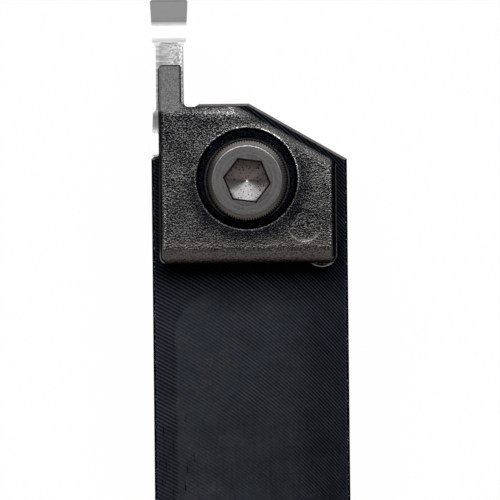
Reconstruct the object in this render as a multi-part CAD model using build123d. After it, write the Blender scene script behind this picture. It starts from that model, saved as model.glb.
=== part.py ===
from build123d import *
import math
import os

# A square-shank grooving tool holder with a screwed-on finger clamp and a
# double-ended insert. All sizes are in millimetres and degrees.
# The origin is the middle of the shank's base, at half the tool's length.
# +Y points to the cutting edge, +X to the shank's plain side, +Z up to the clamp.

# Shank and head of the holder body
shank_width = 25.0
shank_height = 25.0
overall_length = 150.0  # rear end of the shank to the cutting edge
long_edge_chamfer = 0.3
rear_end_chamfer = 0.6
relief_corner_chamfer = 0.4
head_setback = 13.4  # cutting edge back to the flat front of the head
front_flat_inset = 6.2  # shank's insert side to the start of the front flat
front_flat_width = 6.35
head_diagonal_angle = 30.0
notch_angle = 30.0  # the head's short bevel beside the blade
notch_radius = 1.0

# Support blade under the insert
blade_thickness = 3.4
blade_nose_setback = 1.7  # cutting edge back to the blade's upper nose
blade_nose_relief = 8.0
blade_knee_height = 7.0
blade_foot_setback = 8.6  # cutting edge back to the blade's foot on the base
blade_knee_radius = 5.0

# Double-ended insert
insert_length = 20.0
cut_width = 4.85
edge_height = 4.6  # seat up to the cutting edge
side_relief = 2.85
wall_relief = 2.0
face_relief = 7.0
corner_radius = 0.35
head_length = 5.5
shoulder_length = 0.5
waist_width = 3.45
waist_rise = 0.45  # top of the waist above the cutting edge
edge_land = 0.2
chip_face_depth = 0.35
chip_face_end = 2.85  # cutting edge back to the foot of the chip groove's back wall
back_wall_end = 6.0
vee_half_width = 1.3
top_vee_depth = 0.3
seat_vee_depth = 0.4
seat_side_clearance = 0.25
stop_gap = 0.03

# Finger clamp
clamp_height = 8.0
clamp_setback = 13.8  # cutting edge back to the clamp's front edge
clamp_length = 20.0
clamp_left_inset = 0.95
clamp_right_inset = 1.4
clamp_diagonal_margin = 1.08
clamp_corner_radius = 0.9
clamp_front_corner_radius = 0.5
finger_width = 2.95
finger_setback = 8.4
finger_tip_chamfer = 0.35
finger_root_radius = 1.0
nose_crease_setback = 14.55
nose_crease_round = 0.6
nose_angle = 30.0
skirt_height = 1.4
right_draft = 0.45
left_draft = 0.3
rear_round = 2.4
diagonal_bevel = 0.9
diagonal_bevel_drop = 0.55
top_edge_bevel = 0.25
heel_length = 3.6
belly_clearance = 0.3
insert_lane_clearance = 0.5
insert_lane_margin = 0.4
finger_seat_margin = 0.3

# Locating leg under the clamp's rear corner
leg_radius = 2.24
leg_right_inset = 3.38  # shank's plain side to the leg's axis
leg_rear_inset = 1.6  # clamp's rear edge forward to the leg's axis
leg_length = 4.6
leg_clearance = 0.15
leg_pocket_spare = 0.6
leg_shoulder_height = 2.6
leg_rounding = 0.25

# Moulded circle on the clamp's top
mark_radius = 2.07
mark_depth = 0.12
mark_right_inset = 5.5
mark_rear_inset = 4.8

# Clamp screw, M6 with a socket head
screw_x = -0.3
screw_setback = 23.25  # cutting edge back to the screw's axis
screw_head_diameter = 10.2
screw_head_height = 6.0
screw_head_flat_diameter = 8.9
screw_head_chamfer_drop = 0.45
screw_length = 20.0
screw_diameter = 6.0
screw_tip_chamfer = 0.8
hex_across_flats = 5.0
hex_depth = 3.0
hex_cone_depth = 1.1
hex_turn = -7.8  # how far a corner of the hexagon stands from +X
thread_clearance = 0.05
thread_depth = 18.0
drill_point_angle = 118.0

# Screw's seat in the clamp, and the washer on it
counterbore_diameter = 12.7
counterbore_floor = 2.4  # above the clamp's underside
counterbore_lip = 0.12
counterbore_shift = 0.23  # how far it stands in front of the screw's axis
through_hole_diameter = 6.6
washer_outer_diameter = 11.0
washer_inner_diameter = 6.4
washer_thickness = 1.6
washer_edge_chamfer = 0.2

# Lifting spring round the screw
spring_wire = 0.9
spring_inner_diameter = 7.0
spring_turns = 3.0
spring_steps = 12  # straight steps of the coil in one turn
spring_pocket_clearance = 0.35
spring_pocket_depth = 4.5

# How far a cut reaches past the face that it opens
overshoot = 1.0

# Places worked out from the sizes above
cut_y = overall_length / 2
rear_y = -overall_length / 2
left_x = -shank_width / 2
right_x = shank_width / 2
top_z = shank_height
insert_x = left_x + cut_width / 2
seat_z = top_z - edge_height
stop_y = cut_y - insert_length
waist_z = top_z + waist_rise
blade_left = insert_x - blade_thickness / 2
blade_right = insert_x + blade_thickness / 2
head_front = cut_y - head_setback
clamp_top = top_z + clamp_height
clamp_front = cut_y - clamp_setback
clamp_rear = clamp_front - clamp_length
clamp_left = left_x + clamp_left_inset
clamp_right = right_x - clamp_right_inset
screw_y = cut_y - screw_setback
washer_z = top_z + counterbore_floor
head_seat_z = washer_z + washer_thickness
leg_x = right_x - leg_right_inset
leg_y = clamp_rear + leg_rear_inset


def diagonal_y(x, margin=0.0):
    """The y of the head's slanted side at x, moved inwards by a margin."""
    angle = math.radians(head_diagonal_angle)
    corner_x = left_x + front_flat_inset + front_flat_width
    return head_front - (x - corner_x) * math.tan(angle) - margin / math.cos(angle)


def diagonal_x(y, margin=0.0):
    """The x at which the slanted side, moved inwards, reaches y."""
    angle = math.radians(head_diagonal_angle)
    return right_x - (y - diagonal_y(right_x, margin)) / math.tan(angle)


def box(x_span, y_span, z_span):
    """A block between two limits on each axis."""
    size = [high - low for low, high in (x_span, y_span, z_span)]
    middle = [(high + low) / 2 for low, high in (x_span, y_span, z_span)]
    return Pos(*middle) * Box(*size)


def upright(radius, x, y, z_span):
    """A vertical cylinder between two heights."""
    low, high = z_span
    return Pos(x, y, (low + high) / 2) * Cylinder(radius, high - low)


def vee_prism(half_width, height, y_span, z):
    """A ridge along Y on the insert's centre line, from z up, or down where height is negative."""
    section = Polygon((-half_width, 0), (half_width, 0), (0, height), align=None)
    low, high = y_span
    plane = Plane(origin=(insert_x, high, z), x_dir=(1, 0, 0), z_dir=(0, -1, 0))
    return extrude(plane * section, amount=high - low, dir=(0, -1, 0))


def near(value, target):
    """True where a coordinate lies on a plane."""
    return abs(value - target) < 1e-4


def head_outline():
    """The holder from above: shank, relieved side, flat front, slanted side and blade."""
    flat_left = left_x + front_flat_inset
    notch_y = head_front - (flat_left - blade_right) * math.tan(math.radians(notch_angle))
    outline = Polygon(
        (left_x, rear_y),
        (right_x, rear_y),
        (right_x, diagonal_y(right_x)),
        (flat_left + front_flat_width, head_front),
        (flat_left, head_front),
        (blade_right, notch_y),
        (blade_right, cut_y),
        (blade_left, cut_y),
        (blade_left, stop_y),
        (left_x, stop_y),
        align=None,
    )
    notch = [v for v in outline.vertices() if near(v.X, blade_right) and near(v.Y, notch_y)]
    outline = fillet(notch, notch_radius)
    corner = [v for v in outline.vertices() if near(v.X, left_x) and near(v.Y, stop_y)]
    return chamfer(corner, relief_corner_chamfer)


def blade_front_cut():
    """What is cut away in front of the blade, which slopes back towards the base."""
    nose_y = cut_y - blade_nose_setback
    foot_y = cut_y - blade_foot_setback
    fall = (seat_z - blade_knee_height) * math.tan(math.radians(blade_nose_relief))
    side = Polygon(
        (foot_y - overshoot, -overshoot),
        (foot_y, 0),
        (nose_y - fall, blade_knee_height),
        (nose_y, seat_z),
        (nose_y, top_z + overshoot),
        (cut_y + overshoot, top_z + overshoot),
        (cut_y + overshoot, -overshoot),
        align=None,
    )
    knee = [v for v in side.vertices() if near(v.Y, blade_knee_height)]
    side = fillet(knee, blade_knee_radius)
    plane = Plane(origin=(blade_left - overshoot, 0, 0), x_dir=(0, 1, 0), z_dir=(1, 0, 0))
    return extrude(plane * side, amount=blade_thickness + 2 * overshoot, dir=(1, 0, 0))


def holder_body():
    """Shank, head, blade, insert seat, tapped hole, spring pocket and leg pocket."""
    body = extrude(head_outline(), amount=shank_height)
    end_face = body.faces().sort_by(Axis.Y)[0]
    body = chamfer(end_face.edges(), rear_end_chamfer)
    rim = [edge for edge in body.edges() if near((edge @ 0.5).Z, 0) or near((edge @ 0.5).Z, top_z)]
    sides = [edge for edge in rim if (edge @ 0.5).Y > rear_y + 2 * rear_end_chamfer]
    body = chamfer(sides, long_edge_chamfer)

    body -= blade_front_cut()
    slot_right = left_x + cut_width + seat_side_clearance
    slot_start = stop_y - stop_gap
    above = top_z + overshoot
    body -= box((left_x - overshoot, slot_right), (slot_start, cut_y + overshoot), (seat_z, above))
    body += vee_prism(vee_half_width, seat_vee_depth, (slot_start, cut_y - blade_nose_setback), seat_z)

    thread_radius = screw_diameter / 2 + thread_clearance
    point = thread_radius / math.tan(math.radians(drill_point_angle / 2))
    hole_end = top_z - thread_depth
    pocket_radius = spring_inner_diameter / 2 + spring_wire + spring_pocket_clearance
    body -= upright(thread_radius, screw_x, screw_y, (hole_end, above))
    body -= Pos(screw_x, screw_y, hole_end - point / 2) * Cone(0, thread_radius, point)
    body -= upright(pocket_radius, screw_x, screw_y, (top_z - spring_pocket_depth, above))
    leg_hole = leg_radius + leg_clearance
    body -= upright(leg_hole, leg_x, leg_y, (top_z - leg_length - leg_pocket_spare, above))
    return body


def insert_side():
    """The insert's long profile: at each end a chip face and a curved back wall, and a raised waist."""
    reach = insert_length / 2
    foot = (chip_face_end, -chip_face_depth)
    end = (
        Line((0, 0), (edge_land, 0))
        + Line((edge_land, 0), foot)
        + Spline(foot, (back_wall_end, waist_rise), tangents=((1, 0), (1, 0)))
        + Line((back_wall_end, waist_rise), (reach, waist_rise))
    )
    base = edge_height * math.tan(math.radians(face_relief))
    end += Line((0, 0), (base, -edge_height)) + Line((base, -edge_height), (reach, -edge_height))
    other = mirror(end, about=Plane(origin=(reach, 0, 0), z_dir=(1, 0, 0)))
    return make_face(end.edges() + other.edges())


def insert_plan():
    """The insert's dog-bone plan, a little longer than the insert at both ends."""
    slope = math.tan(math.radians(side_relief))
    half_cut = cut_width / 2 + waist_rise * math.tan(math.radians(wall_relief))
    head = [
        (-overshoot, half_cut + overshoot * slope),
        (head_length, half_cut - head_length * slope),
        (head_length + shoulder_length, waist_width / 2),
    ]
    side = head + [(insert_length - t, w) for t, w in reversed(head)]
    plan = Polygon(*[(t, -w) for t, w in side], *reversed(side), align=None)
    inner = [v for v in plan.vertices() if near(abs(v.Y), waist_width / 2)]
    return fillet(inner, shoulder_length)


def grooving_insert():
    """A double-ended carbide insert with relieved heads and a vee seat above and below."""
    side_plane = Plane(origin=(insert_x, cut_y, top_z), x_dir=(0, -1, 0), z_dir=(-1, 0, 0))
    length_form = extrude(side_plane * insert_side(), amount=cut_width, both=True)
    plan_plane = Plane(origin=(insert_x, cut_y, waist_z), x_dir=(0, -1, 0), z_dir=(0, 0, -1))
    width_form = extrude(plan_plane * insert_plan(), amount=edge_height + waist_rise, taper=wall_relief)
    blank = length_form & width_form
    middle_y = cut_y - insert_length / 2
    end_reach = insert_length / 2 - edge_height * math.tan(math.radians(face_relief))
    corners = [
        edge
        for edge in blank.edges()
        if abs((edge @ 0.5).Y - middle_y) > end_reach
        and abs((edge @ 0.5).X - insert_x) > waist_width / 2
        and edge.length > edge_height / 2
    ]
    blank = fillet(corners, corner_radius)
    blank -= vee_prism(vee_half_width, seat_vee_depth, (stop_y - overshoot, cut_y + overshoot), seat_z)
    vee_end = cut_y - head_length
    vee_start = stop_y + head_length
    blank -= vee_prism(vee_half_width, -top_vee_depth, (vee_start, vee_end), waist_z)
    return blank


def clamp_plan():
    """The clamp's outline from above, with its finger at the insert's side."""
    finger_right = clamp_left + finger_width
    tip_y = cut_y - finger_setback
    corner_y = diagonal_y(clamp_right, clamp_diagonal_margin)
    plan = Polygon(
        (clamp_left, clamp_rear),
        (clamp_right, clamp_rear),
        (clamp_right, corner_y),
        (diagonal_x(clamp_front, clamp_diagonal_margin), clamp_front),
        (finger_right, clamp_front),
        (finger_right, tip_y),
        (clamp_left, tip_y),
        align=None,
    )
    rear = [v for v in plan.vertices() if near(v.Y, clamp_rear)]
    plan = fillet(rear, clamp_corner_radius)
    right = [v for v in plan.vertices() if near(v.X, clamp_right) and near(v.Y, corner_y)]
    plan = fillet(right, clamp_front_corner_radius)
    root = [v for v in plan.vertices() if near(v.X, finger_right) and near(v.Y, clamp_front)]
    plan = fillet(root, finger_root_radius)
    tip = [v for v in plan.vertices() if near(v.X, clamp_left) and near(v.Y, tip_y)]
    return chamfer(tip, finger_tip_chamfer)


def clamp_side():
    """The clamp from the side: rounded rear, flat top and a nose that falls to the finger."""
    crease_y = cut_y - nose_crease_setback
    tip_y = cut_y - finger_setback
    tip_z = clamp_top - (tip_y - crease_y) * math.tan(math.radians(nose_angle))
    side = Polygon(
        (clamp_rear, top_z),
        (tip_y, top_z),
        (tip_y, tip_z),
        (crease_y, clamp_top),
        (clamp_rear, clamp_top),
        align=None,
    )
    rear = [v for v in side.vertices() if near(v.X, clamp_rear) and near(v.Y, clamp_top)]
    side = fillet(rear, rear_round)
    crease = [v for v in side.vertices() if near(v.X, crease_y) and near(v.Y, clamp_top)]
    return fillet(crease, nose_crease_round)


def lean_cut(x, y, z, heading, lean):
    """What lies outside a wall that leans inwards from a line, above that line.

    The line passes through a point, and heading is its direction from above.
    """
    reach = 2 * clamp_length + 2 * shank_width
    outside = box((-reach, reach), (0, reach), (0, reach))
    return Pos(x, y, z) * Rot(0, 0, heading) * Rot(lean, 0, 0) * outside


def clamp_casting():
    """The clamp's outer form: its plan and side profile, drafted walls and bevels."""
    casting = extrude(Pos(0, 0, top_z) * clamp_plan(), amount=clamp_height)
    side_plane = Plane(origin=(left_x, 0, 0), x_dir=(0, 1, 0), z_dir=(1, 0, 0))
    casting = casting & extrude(side_plane * clamp_side(), amount=shank_width)
    wall = clamp_height - skirt_height
    draft_z = top_z + skirt_height
    bevel_share = 1 - top_edge_bevel / wall
    for wall_x, draft, heading in ((clamp_right, right_draft, -90), (clamp_left, -left_draft, 90)):
        lean = math.degrees(math.atan2(abs(draft), wall))
        casting -= lean_cut(wall_x, clamp_rear, draft_z, heading, lean)
        casting -= lean_cut(wall_x - draft * bevel_share, clamp_rear, clamp_top - top_edge_bevel, heading, 45)
    bevel_y = diagonal_y(0, clamp_diagonal_margin)
    bevel_lean = math.degrees(math.atan2(diagonal_bevel, diagonal_bevel_drop))
    return casting - lean_cut(0, bevel_y, clamp_top - diagonal_bevel_drop, -head_diagonal_angle, bevel_lean)


def clamp_underside():
    """What is cut from the clamp's underside: belly relief and the lane over the insert."""
    belly = box(
        (left_x, right_x),
        (clamp_rear + heel_length, cut_y),
        (top_z - overshoot, top_z + belly_clearance),
    )
    lane_right = left_x + cut_width + insert_lane_margin
    lane = box(
        (left_x, lane_right),
        (stop_y - insert_lane_margin, cut_y),
        (top_z - overshoot, waist_z + insert_lane_clearance),
    )
    finger_seat = box(
        (left_x, lane_right),
        (cut_y - insert_length + head_length + shoulder_length + finger_seat_margin, cut_y),
        (waist_z, top_z + clamp_height),
    )
    return belly + (lane - finger_seat)


def top_clamp():
    """The cast clamp with its finger rib, leg, screw seat and moulded circle."""
    clamp = clamp_casting() - clamp_underside()
    rib_start = cut_y - insert_length + head_length + shoulder_length + finger_seat_margin
    clamp += vee_prism(vee_half_width, -top_vee_depth, (rib_start, cut_y - finger_setback), waist_z)

    shoulder = upright(leg_radius, leg_x, leg_y, (top_z, top_z + leg_shoulder_height))
    shoulder = fillet(shoulder.edges().sort_by(Axis.Z)[-1], leg_rounding)
    leg = upright(leg_radius, leg_x, leg_y, (top_z - leg_length, top_z))
    leg = chamfer(leg.edges().sort_by(Axis.Z)[0], leg_rounding)
    clamp += shoulder + leg

    bore_radius = counterbore_diameter / 2
    bore_y = screw_y + counterbore_shift
    clamp -= upright(bore_radius, screw_x, bore_y, (washer_z, clamp_top + overshoot))
    lip = Cone(bore_radius, bore_radius + counterbore_lip, counterbore_lip)
    clamp -= Pos(screw_x, bore_y, clamp_top - counterbore_lip / 2) * lip
    clamp -= upright(through_hole_diameter / 2, screw_x, screw_y, (top_z - overshoot, clamp_top))
    mark_x = right_x - mark_right_inset
    mark_y = clamp_rear + mark_rear_inset
    clamp -= upright(mark_radius, mark_x, mark_y, (clamp_top - mark_depth, clamp_top + overshoot))
    return clamp


def clamp_screw():
    """A socket-head screw, its thread left as a plain cylinder of the thread's diameter."""
    head_top = head_seat_z + screw_head_height
    tip_z = head_seat_z - screw_length
    shank_radius = screw_diameter / 2
    half = Polygon(
        (0, tip_z),
        (shank_radius - screw_tip_chamfer, tip_z),
        (shank_radius, tip_z + screw_tip_chamfer),
        (shank_radius, head_seat_z),
        (screw_head_diameter / 2, head_seat_z),
        (screw_head_diameter / 2, head_top - screw_head_chamfer_drop),
        (screw_head_flat_diameter / 2, head_top),
        (0, head_top),
        align=None,
    )
    screw = revolve(Plane.XZ * half, Axis.Z)
    corner_radius_of_hex = hex_across_flats / 2 / math.cos(math.pi / 6)
    socket = RegularPolygon(corner_radius_of_hex, 6, rotation=hex_turn)
    screw -= extrude(Pos(0, 0, head_top) * socket, amount=-hex_depth)
    cone = Cone(0, hex_across_flats / 2, hex_cone_depth)
    screw -= Pos(0, 0, head_top - hex_depth - hex_cone_depth / 2) * cone
    return Pos(screw_x, screw_y, 0) * screw


def screw_washer():
    """A flat washer between the screw's head and the clamp."""
    ring = Cylinder(washer_outer_diameter / 2, washer_thickness)
    ring -= Cylinder(washer_inner_diameter / 2, washer_thickness)
    rims = [e for e in ring.edges().filter_by(GeomType.CIRCLE) if near(e.radius, washer_outer_diameter / 2)]
    ring = chamfer(rims, washer_edge_chamfer)
    return Pos(screw_x, screw_y, washer_z + washer_thickness / 2) * ring


def lift_spring():
    """A short coil spring with ground ends that lifts the slackened clamp."""
    height = spring_pocket_depth + belly_clearance
    mean_radius = (spring_inner_diameter + spring_wire) / 2
    steps = round(spring_turns * spring_steps)
    rise = (height - spring_wire / 2) / steps
    step_angle = math.radians(360 / spring_steps)
    points = [
        (mean_radius * math.cos(i * step_angle), mean_radius * math.sin(i * step_angle), i * rise)
        for i in range(steps + 1)
    ]
    path = Polyline(*points)
    section = Plane(origin=path @ 0, z_dir=path % 0) * Circle(spring_wire / 2)
    coil = Pos(0, 0, spring_wire / 4) * sweep(section, path, transition=Transition.RIGHT)
    ground = Pos(0, 0, height / 2) * Cylinder(mean_radius + spring_wire, height)
    return Pos(screw_x, screw_y, top_z - spring_pocket_depth) * (coil & ground)


PIECES = {
    "holder_body": holder_body,
    "grooving_insert": grooving_insert,
    "top_clamp": top_clamp,
    "clamp_screw": clamp_screw,
    "screw_washer": screw_washer,
    "lift_spring": lift_spring,
}

os.makedirs("parts", exist_ok=True)
for name, make in PIECES.items():
    export_step(make(), f"parts/{name}.step")
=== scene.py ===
"""Finishes, fine detail and studio for the grooving tool holder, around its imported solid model.

Sizes in the classes are millimetres unless a name says otherwise; meshes are made in metres.
+Y points to the cutting edge, +X to the shank's plain side and +Z up to the clamp.
A Point is a place seen from above, and a Span holds the two limits of a soft step.
"""

import logging
import math
from dataclasses import dataclass, field
from enum import Enum
from typing import Dict, List, Optional, Sequence, Tuple, Union

import bmesh
import bpy
from mathutils import Euler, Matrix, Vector, noise


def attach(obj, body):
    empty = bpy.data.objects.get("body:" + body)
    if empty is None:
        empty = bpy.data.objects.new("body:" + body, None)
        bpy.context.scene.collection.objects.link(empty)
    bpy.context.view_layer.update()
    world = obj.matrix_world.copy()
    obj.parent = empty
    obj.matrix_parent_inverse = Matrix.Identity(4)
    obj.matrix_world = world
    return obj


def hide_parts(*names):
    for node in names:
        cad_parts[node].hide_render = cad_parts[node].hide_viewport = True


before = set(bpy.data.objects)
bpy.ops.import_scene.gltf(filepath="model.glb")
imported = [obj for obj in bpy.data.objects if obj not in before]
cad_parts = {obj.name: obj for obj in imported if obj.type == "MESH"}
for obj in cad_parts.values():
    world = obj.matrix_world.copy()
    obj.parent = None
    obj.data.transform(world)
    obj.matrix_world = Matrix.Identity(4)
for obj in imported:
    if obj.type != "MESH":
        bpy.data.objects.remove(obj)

LOG = logging.getLogger("grooving_tool_holder")
MM = 0.001
WELD_DISTANCE = 1e-7
Colour = Tuple[float, float, float]
Point = Tuple[float, float]
Span = Tuple[float, float]
Vertex = Tuple[float, float, float]
Face = Tuple[int, ...]


class Rider(Enum):
    """The moving bodies that the new pieces ride on."""

    CLAMP = "clamp"
    SCREW = "screw"


class Piece(Enum):
    """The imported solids, by their node names."""

    BODY = "holder_body"
    INSERT = "grooving_insert"
    CLAMP = "top_clamp"
    SCREW = "clamp_screw"
    WASHER = "screw_washer"
    SPRING = "lift_spring"


class Wire:
    """A shader socket that can stand in a Python expression."""

    def __init__(self, sheet: "NodeSheet", socket: bpy.types.NodeSocket) -> None:
        """Keeps the socket and the node sheet that it belongs to."""
        self.sheet = sheet
        self.socket = socket

    def twin(self, output: int) -> "Wire":
        """Another output of the same node, by its number."""
        return Wire(self.sheet, self.socket.node.outputs[output])

    def __add__(self, other: "Value") -> "Wire":
        """self + other"""
        return self.sheet.function("ADD", self, other)

    def __radd__(self, other: "Value") -> "Wire":
        """other + self"""
        return self.sheet.function("ADD", other, self)

    def __sub__(self, other: "Value") -> "Wire":
        """self - other"""
        return self.sheet.function("SUBTRACT", self, other)

    def __rsub__(self, other: "Value") -> "Wire":
        """other - self"""
        return self.sheet.function("SUBTRACT", other, self)

    def __mul__(self, other: "Value") -> "Wire":
        """self * other"""
        return self.sheet.function("MULTIPLY", self, other)

    def __truediv__(self, other: "Value") -> "Wire":
        """self / other"""
        return self.sheet.function("DIVIDE", self, other)

    def __abs__(self) -> "Wire":
        """abs(self)"""
        return self.sheet.function("ABSOLUTE", self)


Value = Union[Wire, float, Sequence[float]]
Triple = Tuple[Wire, Wire, Wire]


class NodeSheet:
    """The node tree of one finish or of the sky, and the one place where its nodes are made."""

    def __init__(self, tree: bpy.types.NodeTree) -> None:
        """Empties the tree, so that every node in it is one made here."""
        self.tree = tree
        tree.nodes.clear()

    def add(
        self,
        kind: str,
        settings: Optional[Dict[str, object]] = None,
        sockets: Optional[Dict[Union[int, str], Value]] = None,
        output: int = 0,
    ) -> Wire:
        """Makes one node, sets it, and then fills its sockets.

        Args:
            kind: the node's type.
            settings: its properties, set first.
            sockets: values or wires for its inputs, by index or name.
            output: which output the returned wire is.

        Returns:
            A wire from that output.
        """
        node = self.tree.nodes.new(kind)
        for name, value in (settings or {}).items():
            setattr(node, name, value)
        for key, value in (sockets or {}).items():
            if isinstance(value, Wire):
                self.tree.links.new(value.socket, node.inputs[key])
            else:
                node.inputs[key].default_value = value
        return Wire(self, node.outputs[output] if node.outputs else None)

    def function(self, operation: str, value: Value, other: Value = 0.0) -> Wire:
        """One operation of the Math node, such as SINE, on one value or two."""
        return self.add("ShaderNodeMath", {"operation": operation}, {0: value, 1: other})

    def most(self, *values: Value) -> Wire:
        """The greatest of several values.

        Args:
            values: what is compared.

        Returns:
            The greatest.
        """
        top = values[0]
        for value in values[1:]:
            top = self.function("MAXIMUM", top, value)
        return top

    def least(self, first: Value, second: Value) -> Wire:
        """The smaller of two values."""
        return self.function("MINIMUM", first, second)

    def spot(self) -> Wire:
        """The place on the piece, in millimetres, which stays with the piece as it moves."""
        place = self.add("ShaderNodeTexCoord", output=3)
        return self.add("ShaderNodeVectorMath", {"operation": "SCALE"}, {0: place, "Scale": 1 / MM})

    def facing(self) -> Triple:
        """The surface's own direction, as its x, y and z shares."""
        return self.split(self.add("ShaderNodeTexCoord", output=1))

    def split(self, vector: Wire) -> Triple:
        """The x, y and z of a vector."""
        first = self.add("ShaderNodeSeparateXYZ", sockets={0: vector})
        return first, first.twin(1), first.twin(2)

    def vector(self, x: Value, y: Value, z: Value) -> Wire:
        """Three numbers joined into a vector."""
        return self.add("ShaderNodeCombineXYZ", sockets={0: x, 1: y, 2: z})

    def reach(self, across: Wire, along: Wire) -> Wire:
        """How long a flat offset is."""
        return self.function("SQRT", across * across + along * along)

    def around(self, x: Wire, y: Wire, axis: Point) -> Triple:
        """A place's offsets from an upright axis along X and Y, and its distance from the axis."""
        across, along = x - axis[0], y - axis[1]
        return across, along, self.reach(across, along)

    def grain(self, place: Wire, size: float, detail: float = 2.0, rough: float = 0.6) -> Wire:
        """Cloudy noise from 0 to 1, by its clouds' width, its finer layers and how rough they are."""
        values = {"Vector": place, "Scale": 1 / size, "Detail": detail, "Roughness": rough}
        return self.add("ShaderNodeTexNoise", {"noise_dimensions": "3D"}, values)

    def cells(self, place: Wire, size: float, feature: str = "F1", dimensions: str = "3D") -> Wire:
        """The distance to the nearest of many points, scattered about one size apart."""
        settings = {"feature": feature, "voronoi_dimensions": dimensions}
        return self.add("ShaderNodeTexVoronoi", settings, {"Vector": place, "Scale": 1 / size})

    def ramp(self, value: Value, low: float, high: float, start: float = 0.0, end: float = 1.0) -> Wire:
        """A soft step: start below the low limit, and end above the high one."""
        limits = {0: value, 1: low, 2: high, 3: start, 4: end}
        return self.add("ShaderNodeMapRange", {"interpolation_type": "SMOOTHSTEP"}, limits)

    def fall(self, value: Value, low: float, high: float, end: float = 0.0) -> Wire:
        """A soft step down from 1 to its end."""
        return self.ramp(value, low, high, 1.0, end)

    def line(self, value: Wire, middle: float, half: float, core: float = 0.0) -> Wire:
        """A soft line: 1 up to its core on each side of the middle, and 0 beyond its half width."""
        return self.fall(abs(value - middle), core, half)

    def blend(self, share: Value, first: Value, second: Value) -> Wire:
        """A colour between two others.

        Args:
            share: 0 for the first and 1 for the second.
            first: a colour.
            second: a colour.

        Returns:
            The mixed colour.
        """
        settings = {"data_type": "RGBA", "clamp_factor": True}
        pair = [value if isinstance(value, Wire) else (*value, 1.0) for value in (first, second)]
        return self.add("ShaderNodeMix", settings, {0: share, 6: pair[0], 7: pair[1]}, 2)

    def between(self, share: Wire, first: Wire, second: Wire) -> Wire:
        """A normal between two others."""
        return self.add("ShaderNodeMix", {"data_type": "VECTOR"}, {0: share, 4: first, 5: second}, 1)

    def relief(self, height: Value, depth: float, under: Optional[Wire] = None) -> Wire:
        """A bumped normal.

        Args:
            height: the relief, from 0 to 1.
            depth: how deep it is, in millimetres.
            under: a normal that this one lies on.

        Returns:
            The normal.
        """
        sockets = {"Height": height, "Distance": depth * MM, "Strength": 1.0}
        if under is not None:
            sockets["Normal"] = under
        return self.add("ShaderNodeBump", sockets=sockets)

    def seen(self) -> Wire:
        """1 for rays that show the background: from the camera, in a gloss or through glass."""
        camera = self.add("ShaderNodeLightPath")
        return self.least(camera + camera.twin(3) + camera.twin(6), 1.0)

    def surface(self, tone: Wire, metal: Value, rough: Value, normal: Wire, grazing: float = 1.0) -> None:
        """Ends the sheet in one metal-and-plastic shader.

        Args:
            tone: its colour.
            metal: how metallic it is.
            rough: how rough it is.
            normal: its bumped normal.
            grazing: how bright it is in a grazing view.
        """
        sockets = {"Base Color": tone, "Metallic": metal, "Roughness": rough, "Normal": normal}
        sockets["Specular Tint"] = (grazing, grazing, grazing, 1.0)
        shader = self.add("ShaderNodeBsdfPrincipled", sockets=sockets)
        self.add("ShaderNodeOutputMaterial", sockets={0: shader})


@dataclass(frozen=True)
class Finish:
    """What every finish shares."""

    name: str

    def paint(self) -> bpy.types.Material:
        """Makes the finish.

        Returns:
            The material.
        """
        material = bpy.data.materials.new(self.name)
        material.use_nodes = True
        self.draw(NodeSheet(material.node_tree))
        return material

    def draw(self, sheet: NodeSheet) -> None:
        """Draws the finish on its empty sheet, each finish in its own way."""
        raise NotImplementedError(self.name)


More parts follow.
